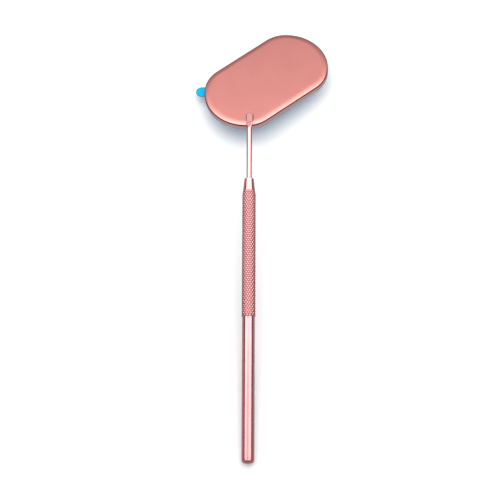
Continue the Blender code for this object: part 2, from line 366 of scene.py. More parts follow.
@dataclass(frozen=True)
class FusedMetal(Finish):
    """Weld metal: rough and browned, with darker sooty patches; where it shows round the spade its dark
    colour also serves as painted shade.
    """

    colour: Colour = (0.42, 0.27, 0.22, 1.0)
    burnt: Colour = (0.13, 0.09, 0.10, 1.0)
    soot_size: float = 0.5 * MM
    soot_band: Point = (0.4, 0.62)
    roughness: Point = (0.32, 0.62)
    ripple_size: float = 0.12 * MM
    ripple_depth: float = 0.03 * MM

    def sockets(self, paint: Paint) -> dict[str, object]:
        """Sooty patches over rippled metal."""
        soot = paint.noise(self.soot_size, FINE)
        ripple = paint.noise(self.ripple_size)
        return {
            "Base Color": paint.mix(soot.ramped(*self.soot_band), self.colour, self.burnt),
            "Metallic": 1.0,
            "Roughness": soot.between(*self.roughness),
            "Normal": paint.bump(ripple, self.ripple_depth),
        }


@dataclass(frozen=True)
class FloatGlass(Finish):
    """Clear glass whose ground edge, marked by the wear attribute, is frosted."""

    clear: Colour = (0.94, 0.98, 0.97, 1.0)
    ground: Colour = (0.74, 0.82, 0.80, 1.0)
    frost_size: float = 0.08 * MM
    frost_depth: float = 0.02 * MM
    smear_size: float = 7.0 * MM
    smear_band: Point = (0.5, 0.75)
    smear_roughness: float = 0.03
    polish: float = 0.01
    frost_roughness: Point = (0.3, 0.6)
    refraction: float = 1.52
    face_alpha: float = 0.28
    edge_alpha: float = 0.73

    def sockets(self, paint: Paint) -> dict[str, object]:
        """Clear faces with faint smears, and a frosted edge."""
        edge = paint.attribute(WEAR_AND_PAINTED_LIGHT)
        frost = paint.noise(self.frost_size)
        smear = paint.noise(self.smear_size).ramped(*self.smear_band)
        rough = edge * frost.between(*self.frost_roughness) + smear * self.smear_roughness
        return {
            "Base Color": paint.mix(edge, self.clear, self.ground),
            "Roughness": rough + self.polish,
            "Alpha": edge.between(self.face_alpha, self.edge_alpha),
            "IOR": self.refraction,
            "Normal": paint.bump(frost * edge, self.frost_depth),
        }


@dataclass(frozen=True)
class SilverCoat(Finish):
    """The reflecting silver, with a trace of tarnish creeping in from its edge."""

    colour: Colour = (0.94, 0.95, 0.96, 1.0)
    tarnish: Colour = (0.52, 0.44, 0.34, 1.0)
    patch_size: float = 0.9 * MM
    patch_band: Point = (0.35, 0.7)
    roughness: Point = (0.02, 0.32)

    def sockets(self, paint: Paint) -> dict[str, object]:
        """Bright silver, tarnished in patches at the edge."""
        patch = paint.noise(self.patch_size, FINE)
        creep = (paint.attribute(WEAR_AND_PAINTED_LIGHT) * patch.ramped(*self.patch_band)).ramped()
        return {
            "Base Color": paint.mix(creep, self.colour, self.tarnish),
            "Metallic": 1.0,
            "Roughness": creep.between(*self.roughness),
        }


@dataclass(frozen=True)
class BackingPaint(Finish):
    """The grey paint that seals the silver, sprayed a little unevenly."""

    colour: Colour = (0.20, 0.21, 0.22, 1.0)
    thin: Colour = (0.29, 0.30, 0.31, 1.0)
    roughness: Point = (0.42, 0.62)
    spray_size: float = 2.2 * MM
    spray_band: Point = (0.35, 0.65)
    peel_size: float = 0.25 * MM
    peel_depth: float = 0.01 * MM

    def sockets(self, paint: Paint) -> dict[str, object]:
        """Uneven grey with a slight orange peel."""
        spray = paint.noise(self.spray_size, FINE)
        peel = paint.noise(self.peel_size, COARSE)
        return {
            "Base Color": paint.mix(spray.ramped(*self.spray_band), self.colour, self.thin),
            "Roughness": peel.between(*self.roughness),
            "Normal": paint.bump(peel, self.peel_depth),
        }


@dataclass(frozen=True)
class AdhesiveFoam(Finish):
    """White closed-cell foam tape, with its cells open where it was cut."""

    colour: Colour = (0.82, 0.82, 0.79, 1.0)
    # Colour of the painted shade in the open cells.
    painted_hollow_shade: Colour = (0.55, 0.54, 0.50, 1.0)
    roughness: Point = (0.8, 0.9)
    cell: float = 0.22 * MM
    cell_band: Point = (0.2, 0.75)
    cell_depth: float = 0.05 * MM

    def sockets(self, paint: Paint) -> dict[str, object]:
        """Pale cell walls round hollows darkened with painted shade."""
        inputs = {"Vector": paint.place, "Scale": 1.0 / self.cell}
        rim = paint.node("ShaderNodeTexVoronoi", {}, inputs, "Distance").ramped(*self.cell_band)
        return {
            "Base Color": paint.mix(rim, self.painted_hollow_shade, self.colour),
            "Roughness": rim.between(*self.roughness),
            "Normal": paint.bump(rim, self.cell_depth),
        }


@dataclass(frozen=True)
class PullFilm(Finish):
    """Translucent blue protective film, a little uneven where it was pulled tight."""

    colour: Colour = (0.0, 0.50, 0.92, 1.0)
    # Colour of the painted shade along the film's cut edge.
    edge_shade_colour: Colour = (0.02, 0.19, 0.27, 1.0)
    edge_shade: float = 1.1
    tension_shade: float = 0.15
    tension_size: float = 5.0 * MM
    tension_band: Point = (0.35, 0.75)
    tension_depth: float = 0.03 * MM
    dust_size: float = 0.3 * MM
    roughness: Point = (0.30, 0.42)
    alpha: float = 0.94
    gloss: float = 0.15

    def sockets(self, paint: Paint) -> dict[str, object]:
        """Bright blue, darkened with painted shade along the cut edge."""
        tension = paint.noise(self.tension_size, COARSE)
        dust = paint.noise(self.dust_size)
        edge = paint.attribute(WEAR_AND_PAINTED_LIGHT)
        taut = tension.ramped(*self.tension_band) * self.tension_shade
        shade = (edge * self.edge_shade + taut).ramped()
        return {
            "Base Color": paint.mix(shade, self.colour, self.edge_shade_colour),
            "Roughness": dust.between(*self.roughness),
            "Alpha": edge.between(self.alpha, 1.0),
            "Specular IOR Level": self.gloss,
            "Normal": paint.bump(tension, self.tension_depth),
        }


@dataclass(frozen=True)
class TableTop(Finish):
    """The plain pale surface under the object."""

    seen: Colour = (1.0, 1.0, 1.0, 1.0)
    mirrored: Colour = (0.32, 0.33, 0.35, 1.0)
    lift: Colour = (0.94, 1.0, 1.06, 1.0)
    lift_strength: float = 0.04
    roughness: float = 0.9

    def sockets(self, paint: Paint) -> dict[str, object]:
        """White as it is seen, greyer in the light that it throws back onto the metal."""
        direct = paint.node("ShaderNodeLightPath", output="Is Camera Ray")
        return {
            "Base Color": paint.mix(direct, self.mirrored, self.seen),
            "Roughness": self.roughness,
            "Specular IOR Level": 0.0,
            "Emission Color": self.lift,
            "Emission Strength": self.lift_strength,
        }


class Finishes:
    """Every finish of the object, each made into a material once."""

    def __init__(self, axis: Vector) -> None:
        """Makes the materials, with the turned ones' marks across the handle's axis."""
        turned = {"grain": Grain.TURNED, "axis": tuple(axis)}
        rubbed = (0.93, 0.72, 0.68, 1.0)
        self.satin = Plating(
            "satin_rose_gold",
            colour=(0.93, 0.355, 0.315, 1.0),
            # Paler colour for scuffs, and for the painted reflection of the table on the dish's wall.
            worn_colour=(0.96, 0.66, 0.64, 1.0),
            roughness=0.30,
            grain=Grain.BLASTED,
            grain_size=0.09 * MM,
            grain_depth=0.0010 * MM,
            stain=0.03,
            # Painted shade darkening the rim crease into a dark line.
            groove_shade=0.82,
        ).material()
        self.stem = Plating(
            "polished_pale_rose_gold",
            colour=(0.89, 0.42, 0.41, 1.0),
            worn_colour=rubbed,
            roughness=0.11,
            grain=Grain.DRAWN,
            grain_size=0.12 * MM,
            grain_depth=0.0008 * MM,
        ).material()
        self.nose = Plating(
            "turned_rose_gold",
            colour=(0.91, 0.38, 0.37, 1.0),
            worn_colour=rubbed,
            roughness=0.16,
            grain_size=0.10 * MM,
            grain_depth=0.0015 * MM,
            **turned,
        ).material()
        self.grip = Plating(
            "knurled_rose_gold",
            colour=(0.92, 0.355, 0.36, 1.0),
            worn_colour=(0.95, 0.50, 0.49, 1.0),
            roughness=0.18,
            grain_size=0.12 * MM,
            grain_depth=0.0012 * MM,
            # Painted shade darkening the knurl's grooves.
            groove_shade=0.60,
            **turned,
        ).material()
        self.thread = Plating(
            "threaded_rose_gold",
            colour=(0.82, 0.42, 0.38, 1.0),
            worn_colour=(0.92, 0.74, 0.66, 1.0),
            roughness=0.24,
            grain_size=0.06 * MM,
            grain_depth=0.0015 * MM,
            stain=0.25,
            **turned,
        ).material()
        self.weld = FusedMetal("fused_weld_metal").material()
        self.glass = FloatGlass("clear_float_glass").material()
        self.silver = SilverCoat("silver_coat").material()
        self.paint = BackingPaint("grey_backing_paint").material()
        self.foam = AdhesiveFoam("white_foam_tape").material()
        self.film = PullFilm("blue_pull_film").material()


class Form:
    """A mesh under construction out of rings of points, with a wear value at each vertex."""

    def __init__(self, name: str) -> None:
        """Starts an empty form."""
        self.name = name
        self.shape = bmesh.new()
        self.wear = self.shape.verts.layers.float.new(WEAR_AND_PAINTED_LIGHT)
        self.painted_hollow_shade = self.shape.verts.layers.float.new(PAINTED_HOLLOW_SHADE)
        self.rings: list[list[bmesh.types.BMVert]] = []

    def ring(self, points: Sequence[Vector], wear: float = 0.0, painted_hollow_shade: float = 0.0) -> None:
        """Adds a ring after the last one, with its wear and its share of painted shade for grooves and
        creases.
        """
        row = [self.shape.verts.new(point) for point in points]
        for vert in row:
            vert[self.wear] = wear
            vert[self.painted_hollow_shade] = painted_hollow_shade
        self.rings.append(row)

    def skin(self, looped: bool = False) -> None:
        """Joins each ring to the next with quads, and the last to the first where the form is looped."""
        rows = self.rings + self.rings[:1] if looped else self.rings
        for first, second in zip(rows, rows[1:]):
            for i, vert in enumerate(first):
                after = (i + 1) % len(first)
                self.shape.faces.new((vert, first[after], second[after], second[i]))

    def cap(self, row: int, centre: Vector | None = None) -> None:
        """Closes an end ring, with one flat face or with a fan about a centre."""
        ring = self.rings[row]
        if centre is None:
            self.shape.faces.new(ring)
            return
        middle = self.shape.verts.new(centre)
        for i, vert in enumerate(ring):
            self.shape.faces.new((vert, ring[(i + 1) % len(ring)], middle))

    def end(self) -> None:
        """Skins the rings and closes both ends with flat faces."""
        self.skin()
        self.cap(0)
        self.cap(-1)

    def mesh(self, place: Matrix) -> bpy.types.Object:
        """Makes the form an object at the origin, with its place in its mesh and no material yet."""
        bmesh.ops.recalc_face_normals(self.shape, faces=self.shape.faces)
        made = bpy.data.meshes.new(self.name)
        self.shape.to_mesh(made)
        self.shape.free()
        made.transform(place)
        made.shade_smooth()
        made.set_sharp_from_angle(angle=SHARP_ANGLE)
        piece = bpy.data.objects.new(self.name, made)
        bpy.context.scene.collection.objects.link(piece)
        return piece


def dress(piece: bpy.types.Object, finish: bpy.types.Material, body: Body, slot: Slot, *nodes: str) -> None:
    """Gives a piece its finish and its body, and reports it.

    Args:
        piece: The finished piece.
        finish: Its material.
        body: The body that it rides on.
        slot: Its material slot; not used.
        nodes: The CAD nodes that it stands for.
    """
    piece.data.materials.clear()
    piece.data.materials.append(finish)
    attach(piece, body.value)
    if nodes:
        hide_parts(*nodes)
    stands_for = ", ".join(nodes) or "nothing"
    log.info("%s: %d faces, rides %s, for %s", piece.name, len(piece.data.polygons), body.value, stands_for)


def spread(start: float, end: float, steps: int) -> list[float]:
    """Evenly spaced numbers from start to end, both included."""
    return [start + (end - start) * step / steps for step in range(steps + 1)]


def arc(steps: int, start: float = 0.0, end: float = pi / 2) -> list[float]:
    """Evenly spaced angles from start to end, both included."""
    return spread(start, end, steps)


def squared(turns: Sequence[float], power: float) -> list[Point]:
    """Points round a circle that is pushed out towards a square, more so at a higher power than 2."""
    points = []
    for turn in turns:
        x, y = cos(turn), sin(turn)
        size = (abs(x) ** power + abs(y) ** power) ** (-1.0 / power)
        points.append((x * size, y * size))
    return points


def rounded(first: Point, corner: Point, last: Point, reach: float, steps: int = 4) -> list[Point]:
    """A corner of a profile rounded off with a smooth curve.

    Args:
        first: A point on the line into the corner.
        corner: The corner.
        last: A point on the line out of it.
        reach: How far back along both lines the rounding starts.
        steps: How many pieces the curve has.

    Returns:
        The points of the curve, from the line in to the line out.
    """
    middle = Vector(corner)
    start = middle + (Vector(first) - middle).normalized() * reach
    end = middle + (Vector(last) - middle).normalized() * reach
    points = []
    for share in spread(0.0, 1.0, steps):
        point = start * (1 - share) ** 2 + middle * (2 * share * (1 - share)) + end * share**2
        points.append((point.x, point.y))
    return points


@dataclass(frozen=True)
class HelicalCut:
    """Grooves cut round a turned piece in a helix, once or crossed in both directions.

    The piece lies along -Y in its own frame. Its surface is at the crests before the cut, and the cut
    pulls it inwards between two stations.
    """

    starts: int
    lead_step: float
    depth: float
    first: float
    last: float
    crossed: bool
    land: float
    fade: float
    floor_radius: float

    def apply(self, piece: bpy.types.Object, material: bpy.types.Material) -> None:
        """Cuts the grooves into the piece's mesh, and leaves the crests' share in its wear attribute."""
        tree = self._tree(f"{piece.name}_helical_cut")
        modifier = piece.modifiers.new("helical_cut", "NODES")
        modifier.node_group = tree
        values = {
            "Starts": float(self.starts),
            "Lead Step": self.lead_step,
            "Depth": self.depth,
            "First Station": self.first,
            "Last Station": self.last,
            "Land": self.land,
            "Fade": self.fade,
            "Floor Radius": self.floor_radius,
            "Surface": material,
        }
        for item in tree.interface.items_tree:
            if item.in_out == "INPUT" and item.name in values:
                modifier[item.identifier] = values[item.name]
        seen = piece.evaluated_get(bpy.context.evaluated_depsgraph_get())
        cut = bpy.data.meshes.new_from_object(seen)
        piece.modifiers.remove(modifier)
        piece.data = cut

    def _tree(self, name: str) -> bpy.types.NodeTree:
        """Builds the node tree, with an input for each size."""
        tree = bpy.data.node_groups.new(name, "GeometryNodeTree")
        kinds = {"Geometry": "NodeSocketGeometry", "Surface": "NodeSocketMaterial"}
        sizes = ("Starts", "Lead Step", "Depth", "First Station", "Last Station", "Land", "Fade")
        kinds.update(dict.fromkeys((*sizes, "Floor Radius"), "NodeSocketFloat"))
        for socket, kind in kinds.items():
            tree.interface.new_socket(socket, in_out="INPUT", socket_type=kind)
        tree.interface.new_socket("Geometry", in_out="OUTPUT", socket_type="NodeSocketGeometry")
        board = Board(tree)
        given = {socket: board.node("NodeGroupInput", output=socket) for socket in kinds}
        place = board.node("GeometryNodeInputPosition")
        x, y, z = (board.node("ShaderNodeSeparateXYZ", {}, {0: place}, axis) for axis in "XYZ")
        station = 0.0 - y
        radius = (x * x + z * z) ** 0.5
        turn = z.angle_to(x) * given["Starts"] / (2 * pi)
        climb = station / given["Lead Step"]
        height = self._ridge(turn + climb)
        if self.crossed:
            height = height.least(self._ridge(turn - climb))
        height = (height / given["Land"]).least(1.0)

        into = (station - given["First Station"]) / given["Fade"]
        out = (given["Last Station"] - station) / given["Fade"]
        inside = into.least(out).ramped() * (radius > given["Floor Radius"])
        sunk = (1.0 - height) * inside
        share = (radius - sunk * given["Depth"]) / radius
        moved = board.node("ShaderNodeCombineXYZ", {}, {0: x * share, 1: y, 2: z * share})
        made = board.node("GeometryNodeSetPosition", {}, {"Geometry": given["Geometry"], "Position": moved})
        # The crests' share goes to the wear attribute; the grooves' sunk share goes to the attribute that
        # darkens them with painted shade.
        for attribute, value in ((WEAR_AND_PAINTED_LIGHT, height**CREST_POWER * inside), (PAINTED_HOLLOW_SHADE, sunk)):
            settings = {"data_type": "FLOAT", "domain": "POINT"}
            inputs = {"Geometry": made, "Name": attribute, "Value": value}
            made = board.node("GeometryNodeStoreNamedAttribute", settings, inputs)
        made = board.node("GeometryNodeRealizeInstances", {}, {"Geometry": made})
        made = board.node("GeometryNodeSetMaterial", {}, {"Geometry": made, "Material": given["Surface"]})
        board.node("NodeGroupOutput", {}, {"Geometry": made})
        return tree

    @staticmethod
    def _ridge(turns: Wire) -> Wire:
        """A height that is 0 at each whole turn and 1 half-way between."""
        return 1.0 - abs(turns.fraction() * 2.0 - 1.0)


@dataclass
class Frames:
    """The frames that pieces are made in, worked out from the joints and the mirror's face."""

    head_turn: float = radians(38.9)
    stem_offset: float = -7.9 * MM
    face_depth: float = 3.8 * MM
    nose: Matrix = field(init=False)
    stem: Matrix = field(init=False)
    dish: Matrix = field(init=False)
    axis: Vector = field(init=False)

    def __post_init__(self) -> None:
        """Reads the joint and the mount, and works the frames out."""
        joint = next(j for j in frame["joints"] if j["name"] == "head_unscrew")
        mount = next(m for m in frame["record"]["mounts"] if m["name"] == "mirror_face")
        self.axis = Vector(joint["axis"]).normalized()
        side = Vector((1.0, 0.0, 0.0))
        self.nose = self._matrix(side, self.axis, side.cross(self.axis), Vector(joint["pos_m"]))
        out = -Vector(mount["axis"]).normalized()
        forward = (self.axis - out * self.axis.dot(out)).normalized()
        right = forward.cross(out)
        centre = Vector(mount["pos_m"]) + out * self.face_depth
        self.stem = self._matrix(right, forward, out, centre + right * self.stem_offset)
        long = right * cos(self.head_turn) + forward * sin(self.head_turn)
        self.dish = self._matrix(long, out.cross(long), out, centre)

    @staticmethod
    def _matrix(x: Vector, y: Vector, z: Vector, origin: Vector) -> Matrix:
        """A matrix from three axes and an origin."""
        turned = Matrix((x, y, z)).transposed().to_4x4()
        return Matrix.Translation(origin) @ turned


@dataclass
class MirrorHead:
    """The pressed dish with the mirror's layers inside it, and the film over the glass.

    The dish's own frame has its origin at the centre of the back, X along the oval's length and Z out
    of the back.
    """

    frames: Frames
    finishes: Finishes
    half_length: float = 34.30 * MM
    half_width: float = 21.10 * MM
    end_radius: float = 22.70 * MM
    corner_radius: float = 15.40 * MM
    depth: float = 3.6 * MM
    shoulder_radius: float = 2.6 * MM
    crown_run: float = 3.6 * MM
    crown_tilt: float = radians(13.0)
    crown_power: float = 1.3
    corner_bend: float = 1.0 * MM
    crease_turn: float = radians(54.0)
    crease_spread: float = radians(22.0)
    crease_depth: float = 0.07 * MM
    crease_shade: float = 1.6
    # Paler share on the dish's wall and rim: painted reflection of the table, with some real scuffing at
    # the rim.
    wall_sheen: float = 0.8
    wall_sheen_power: int = 12
    rim_wear_and_sheen: float = 0.9
    lip_wear: float = 0.4
    wall: float = 0.6 * MM
    lip: float = 0.35 * MM
    rim_roll: float = 0.22 * MM
    layer_gap: float = 0.05 * MM
    pad_thickness: float = 0.6 * MM
    pad_inset: float = 3.2 * MM
    coat_thickness: float = 0.08 * MM
    glass_thickness: float = 1.9 * MM
    glass_arris: float = 0.2 * MM
    arris_wear: float = 0.3
    side_gap: float = 0.15 * MM
    film_thickness: float = 0.15 * MM
    film_inset: float = 0.35 * MM
    film_rim: float = 0.80 * MM
    tab_angle: float = radians(135.5)
    tab_width: float = 6.2 * MM
    tab_reach: float = 4.8 * MM
    tab_corner: float = 3.0 * MM
    tab_root: float = 0.9 * MM
    tab_steps: int = 12
    root_steps: int = 5
    film_soften: float = 0.03 * MM
    film_edge_shade: float = 0.9
    outline_steps: int = 44
    shoulder_steps: int = 26
    back_steps: int = 12
    bend_steps: int = 16
    rim_steps: int = 5
    lip_steps: int = 4
    floor_steps: int = 6

    def outline(self, inset: float = 0.0) -> list[Vector]:
        """Points round the oval, moved inwards, counter-clockwise from +X.

        Args:
            inset: How far inside the rim.

        Returns:
            The points, flat at height 0.
        """
        end, corner = self.end_radius - inset, self.corner_radius - inset
        end_centre = self.half_length - self.end_radius
        rise = self.half_width - self.corner_radius
        run = sqrt((self.end_radius - self.corner_radius) ** 2 - rise**2)
        meet = atan2(rise, run)
        quarter = [
            Vector((end_centre + end * cos(turn), end * sin(turn), 0.0))
            for turn in arc(self.outline_steps // 2, 0.0, meet)[:-1]
        ]
        quarter += [
            Vector((end_centre + run + corner * cos(turn), rise + corner * sin(turn), 0.0))
            for turn in arc(self.outline_steps, meet, pi / 2)
        ]
        side = spread(quarter[-1].x, -quarter[-1].x, self.outline_steps // 2)[1:-1]
        middle = [Vector((x, self.half_width - inset, 0.0)) for x in side]
        upper = quarter + middle + [Vector((-p.x, p.y, 0.0)) for p in reversed(quarter)]
        return upper + [Vector((p.x, -p.y, 0.0)) for p in reversed(upper[1:-1])]

    @property
    def bend_inset(self) -> float:
        """How far inside the rim the tight bend of the back's edge starts."""
        return self.corner_bend * (1.0 - sin(self.crown_tilt))

    def back_height(self, inset: float) -> float:
        """Height of the dish's back at a distance inside the rim.

        The back is flat in the middle, rolls off gently towards its edge, and ends in a tight bend.

        Args:
            inset: The distance inside the rim.

        Returns:
            The height, at or below 0.
        """
        run = self.crown_run - self.bend_inset
        share = min(max(self.crown_run - inset, 0.0) / run, 1.0)
        height = -tan(self.crown_tilt) * run / (self.crown_power + 1.0) * share ** (self.crown_power + 1.0)
        if inset < self.bend_inset:
            out = self.corner_bend - inset
            height -= self.corner_bend * cos(self.crown_tilt) - sqrt(max(self.corner_bend**2 - out**2, 0.0))
        return height

    def shell(self) -> None:
        """The dish: flat back, soft shoulder, straight wall, rolled rim and its inside."""
        form = Form("pressed_dish")
        field_ring = self.outline(self.crown_run)
        for share in spread(0.0, 1.0, self.back_steps)[1:-1]:
            form.ring([p * share for p in field_ring])
        for inset in spread(self.crown_run, self.bend_inset, self.shoulder_steps)[:-1]:
            form.ring(self._at(inset, self.back_height(inset)))
        for turn in arc(self.bend_steps, self.crown_tilt, pi / 2):
            inset = self.corner_bend * (1.0 - sin(turn))
            # The crease is a slight real groove, darkened with painted shade into the dark line round the
            # rim.
            crease = max(0.0, 1.0 - abs(turn - self.crease_turn) / self.crease_spread)
            sink = self.crease_depth * crease
            ring = self._at(inset + sink * sin(turn), self.back_height(inset) - sink * cos(turn))
            # Painted reflection: the wall below the bend is made paler, as if lit by the table it faces.
            wall_sheen_share = self.wall_sheen * (turn / (pi / 2)) ** self.wall_sheen_power
            form.ring(ring, wall_sheen_share, min(1.0, self.crease_shade * crease))
        bottom = -self.depth
        for turn in arc(self.rim_steps):
            inset = self.rim_roll * (1.0 - cos(turn))
            form.ring(self._at(inset, bottom + self.rim_roll * (1.0 - sin(turn))), self.rim_wear_and_sheen)
        inner_roll = self.lip / 2
        for turn in arc(self.lip_steps):
            inset = self.wall + self.lip - inner_roll * (1.0 - sin(turn))
            form.ring(self._at(inset, bottom + inner_roll * (1.0 - cos(turn))), self.lip_wear)
        form.ring(self._at(self.wall, bottom + self.lip))
        inner = self.shoulder_radius - self.wall
        for turn in reversed(arc(self.shoulder_steps // 2)):
            inset = self.wall + inner * (1.0 - sin(turn))
            form.ring(self._at(inset, -self.wall - inner * (1.0 - cos(turn))))
        inner_floor = self._at(self.shoulder_radius, 0.0)
        for share in reversed(spread(0.0, 1.0, self.floor_steps)[1:-1]):
            form.ring([p * share + Vector((0, 0, -self.wall)) for p in inner_floor])
        form.skin()
        form.cap(0, Vector((0, 0, 0)))
        form.cap(-1, Vector((0, 0, -self.wall)))
        piece = form.mesh(self.frames.dish)
        dress(piece, self.finishes.satin, Body.HEAD, Slot.SATIN, "back_shell")

    def _at(self, inset: float, height: float) -> list[Vector]:
        """The outline at an inset, raised to a height."""
        lift = Vector((0.0, 0.0, height))
        return [point + lift for point in self.outline(inset)]

    def plate(self, name: str, levels: Sequence[Triple]) -> bpy.types.Object:
        """A flat oval layer.

        Args:
            name: The piece's name.
            levels: Insets, heights and wear of its rings, from the top face's edge to the lower's.

        Returns:
            The piece.
        """
        form = Form(name)
        top, low = levels[0], levels[-1]
        inner = [(edge[0] + step, edge[1], 0.0) for edge in (top, low) for step in (PLATE_FILL, self.wall)]
        for inset, height, wear in (*inner[:2], *levels, inner[3], inner[2]):
            form.ring(self._at(inset, height), wear)
        form.end()
        return form.mesh(self.frames.dish)

    def layers(self) -> None:
        """Foam pad, paint, silver and glass, each a thin gap below the one before."""
        glass_inset = self.wall + self.lip + self.side_gap
        coat_inset = glass_inset + self.glass_arris
        top = -self.wall - self.layer_gap
        low = top - self.pad_thickness
        levels = [
            (self.pad_inset + PAD_BULGE, top, 0.0),
            (self.pad_inset, (top + low) / 2, 0.0),
            (self.pad_inset + PAD_BULGE, low, 0.0),
        ]
        pad = self.plate("foam_tape_pad", levels)
        dress(pad, self.finishes.foam, Body.HEAD, Slot.FOAM, "adhesive_pad")
        for name, finish, slot, node in (
            ("backing_paint_coat", self.finishes.paint, Slot.PAINT, "backing_paint"),
            ("silver_layer", self.finishes.silver, Slot.SILVER, "silver_coat"),
        ):
            top = low - self.layer_gap
            low = top - self.coat_thickness
            coat = self.plate(name, [(coat_inset, top, 1.0), (coat_inset, low, 1.0)])
            dress(coat, finish, Body.HEAD, slot, node)
        top = low - self.layer_gap
        low = top - self.glass_thickness
        arris = self.glass_arris
        levels = [
            (glass_inset + arris, top, self.arris_wear),
            (glass_inset, top - arris, 1.0),
            (glass_inset, low + arris, 1.0),
            (glass_inset + arris, low, self.arris_wear),
        ]
        glass = self.plate("float_glass", levels)
        dress(glass, self.finishes.glass, Body.HEAD, Slot.GLASS, "mirror_glass")

    def film(self) -> None:
        """The peel-off film, with a rounded pull tab that reaches past the rim."""
        edge = self.outline(self.film_inset)
        along = Vector((cos(self.tab_angle), sin(self.tab_angle), 0.0))
        across = Vector((-along.y, along.x, 0.0))
        centre = Vector((self.end_radius - self.half_length, 0.0, 0.0))
        reach = max((p - centre).dot(along) for p in self.outline()) + self.tab_reach
        half = self.tab_width / 2
        tab: list[Vector] = []
        for side, start in ((-1, -pi / 2), (1, 0.0)):
            middle = centre + (reach - self.tab_corner) * along + side * (half - self.tab_corner) * across
            for turn in arc(self.tab_steps, start, start + pi / 2):
                tab.append(middle + self.tab_corner * (cos(turn) * along + sin(turn) * across))
        ahead = [(p, (p - centre).dot(along) > 0, (p - centre).dot(across)) for p in edge]
        kept = [item for item in ahead if not (item[1] and abs(item[2]) <= half + self.tab_root)]
        after = next(i for i, (_, near, aside) in enumerate(kept) if near and aside > half)
        kept = [item[0] for item in kept]
        root = [self._root(kept[after - 1], tab[0], along), self._root(kept[after], tab[-1], along)]
        outline = kept[:after] + root[0] + tab + list(reversed(root[1])) + kept[after:]
        top = -self.depth - self.layer_gap
        form = Form("blue_pull_film")
        soften = self.film_soften
        low = top - self.film_thickness
        # The rings near the cut edge carry painted shade in the wear attribute.
        for inset, height, wear in (
            (self.film_rim, top, 0.0),
            (soften, top, self.film_edge_shade),
            (0.0, top - soften, 1.0),
            (0.0, low + soften, 1.0),
            (soften, low, self.film_edge_shade),
            (self.film_rim, low, 0.0),
        ):
            form.ring(self._shrunk(outline, inset, height), wear)
        form.end()
        piece = form.mesh(self.frames.dish)
        dress(piece, self.finishes.film, Body.HEAD, Slot.FILM, "protective_film")

    def _root(self, rim: Vector, tip: Vector, along: Vector) -> list[Vector]:
        """A short curve where the film's edge turns out into the tab."""
        foot = tip - along * ((tip - rim).dot(along))
        start = foot + along * self.tab_root
        points = []
        for share in spread(0.0, 1.0, self.root_steps)[1:]:
            points.append(rim * (1 - share) ** 2 + foot * (2 * share * (1 - share)) + start * share**2)
        return points

    @staticmethod
    def _shrunk(outline: Sequence[Vector], inset: float, height: float) -> list[Vector]:
        """A closed outline moved inwards by a small distance, at a height."""
        count = len(outline)
        points = []
        for i, point in enumerate(outline):
            run = (outline[(i + 1) % count] - outline[i - 1]).normalized()
            inwards = Vector((-run.y, run.x, 0.0))
            points.append(point + inwards * inset + Vector((0.0, 0.0, height)))
        return points

    def build(self) -> None:
        """Builds the whole head."""
        self.shell()
        self.layers()
        self.film()


